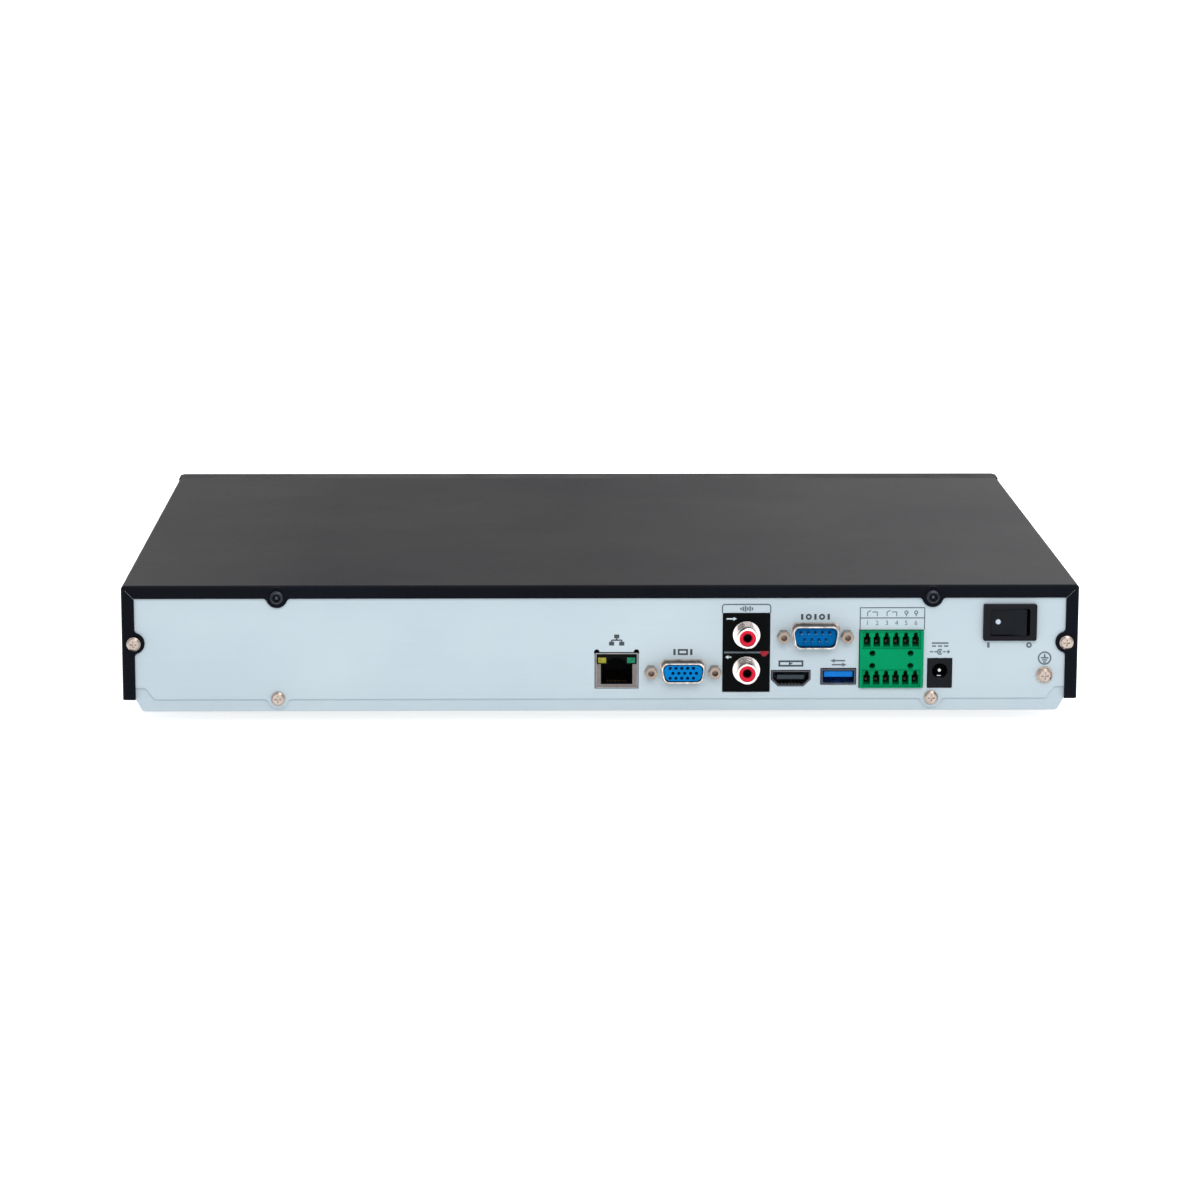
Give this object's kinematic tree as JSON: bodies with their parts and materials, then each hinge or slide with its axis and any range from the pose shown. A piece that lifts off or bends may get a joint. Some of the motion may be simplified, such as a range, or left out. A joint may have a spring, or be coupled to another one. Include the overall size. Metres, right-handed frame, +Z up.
{
  "type": "dvr recorder",
  "caption": "Low black-covered video recorder with a pale socketed rear panel, a rocker power switch, a moulded front and two hard drives inside.",
  "frame": {"origin": "on the ground below the middle of the part's bounding box, feet on z = 0", "axes": "+Z up; the socketed rear panel faces -Y and the moulded front faces +Y; +X is to the right as one looks at the rear panel, along the width"},
  "size_m": [0.375, 0.2816, 0.0565],
  "materials": {
    "zinc_steel": "smooth pale satin coat on cold-rolled steel",
    "black_powder_coat": "fine-grained black powder coat",
    "black_moulding": "fine spark-eroded texture",
    "smoked_window": "polished smoked acrylic",
    "foot_rubber": "matt moulded rubber",
    "nickel_fixings": "bright nickel plate",
    "black_fixings": "black oxide",
    "nickel_shell": "drawn and nickel plated",
    "tin_shield": "folded and tin plated",
    "dark_shield": "blackened plated steel",
    "gold_contacts": "thin gold flash",
    "yellow_light": "clear tinted light pipe",
    "green_light": "clear tinted light pipe",
    "blue_moulding": "moulded thermoplastic",
    "dark_blue_moulding": "moulded thermoplastic",
    "red_moulding": "moulded thermoplastic",
    "green_moulding": "moulded nylon",
    "green_board": "solder mask on glass-fibre laminate",
    "blue_board": "solder mask on glass-fibre laminate",
    "chip_resin": "moulded epoxy",
    "bare_aluminium": "extruded and cut",
    "capacitor_sleeve": "shrunk sleeve",
    "cast_aluminium": "die cast",
    "pressed_steel": "pressed stainless sheet",
    "red_lead": "extruded jacket",
    "black_lead": "extruded jacket",
    "grey_lead": "extruded jacket"
  },
  "bodies": {
    "recorder": {"chassis_pan": "zinc_steel", "rear_panel": "zinc_steel", "top_cover": "black_powder_coat", "front_bezel": "black_moulding", "status_window": "smoked_window", "foot_rear_left": "foot_rubber", "foot_rear_right": "foot_rubber", "foot_front_left": "foot_rubber", "foot_front_right": "foot_rubber", "foot_screws": "nickel_fixings", "cover_side_screws": "nickel_fixings", "cover_top_screws": "black_fixings", "rear_panel_screws": "nickel_fixings", "ground_screw": "nickel_fixings", "ground_washer": "nickel_fixings", "bezel_screws": "nickel_fixings", "network_jack_shell": "tin_shield", "network_jack_insert": "black_moulding", "network_jack_contacts": "gold_contacts", "network_light_yellow": "yellow_light", "network_light_green": "green_light", "monitor_port_shell": "nickel_shell", "monitor_port_insert": "blue_moulding", "serial_port_shell": "nickel_shell", "serial_port_insert": "dark_blue_moulding", "serial_port_stand": "black_moulding", "serial_port_pins": "gold_contacts", "jackscrews": "nickel_fixings", "audio_jack_housing": "black_moulding", "audio_sleeves": "nickel_shell", "audio_insulators": "red_moulding", "video_port_shell": "dark_shield", "video_port_tongue": "black_moulding", "data_port_shells": "tin_shield", "data_port_tongues": "blue_moulding", "alarm_terminal_block": "green_moulding", "alarm_terminal_pins": "tin_shield", "power_jack_body": "black_moulding", "power_jack_pin": "tin_shield", "switch_housing": "black_moulding", "switch_terminals": "tin_shield", "main_board": "green_board", "processor_chip": "chip_resin", "memory_chips": "chip_resin", "heat_sink": "bare_aluminium", "board_capacitors": "capacitor_sleeve", "clock_battery": "tin_shield", "drive_sockets": "black_moulding", "board_screws": "nickel_fixings", "drive_casting_rear": "cast_aluminium", "drive_casting_front": "cast_aluminium", "drive_lid_rear": "pressed_steel", "drive_lid_front": "pressed_steel", "drive_boards": "blue_board", "drive_screws": "nickel_fixings", "drive_cables": "red_lead", "switch_wires": "black_lead", "front_board": "green_board", "front_board_cable": "grey_lead"},
    "rocker": {"switch_rocker": "black_moulding"}
  },
  "joints": [
    {"name": "power_rocker", "type": "hinge", "parent": "recorder", "child": "rocker", "pos_m": [0.1604, -0.12875, 0.0416], "axis": [0, 0, 1], "range_deg": [0, 16]}
  ]
}
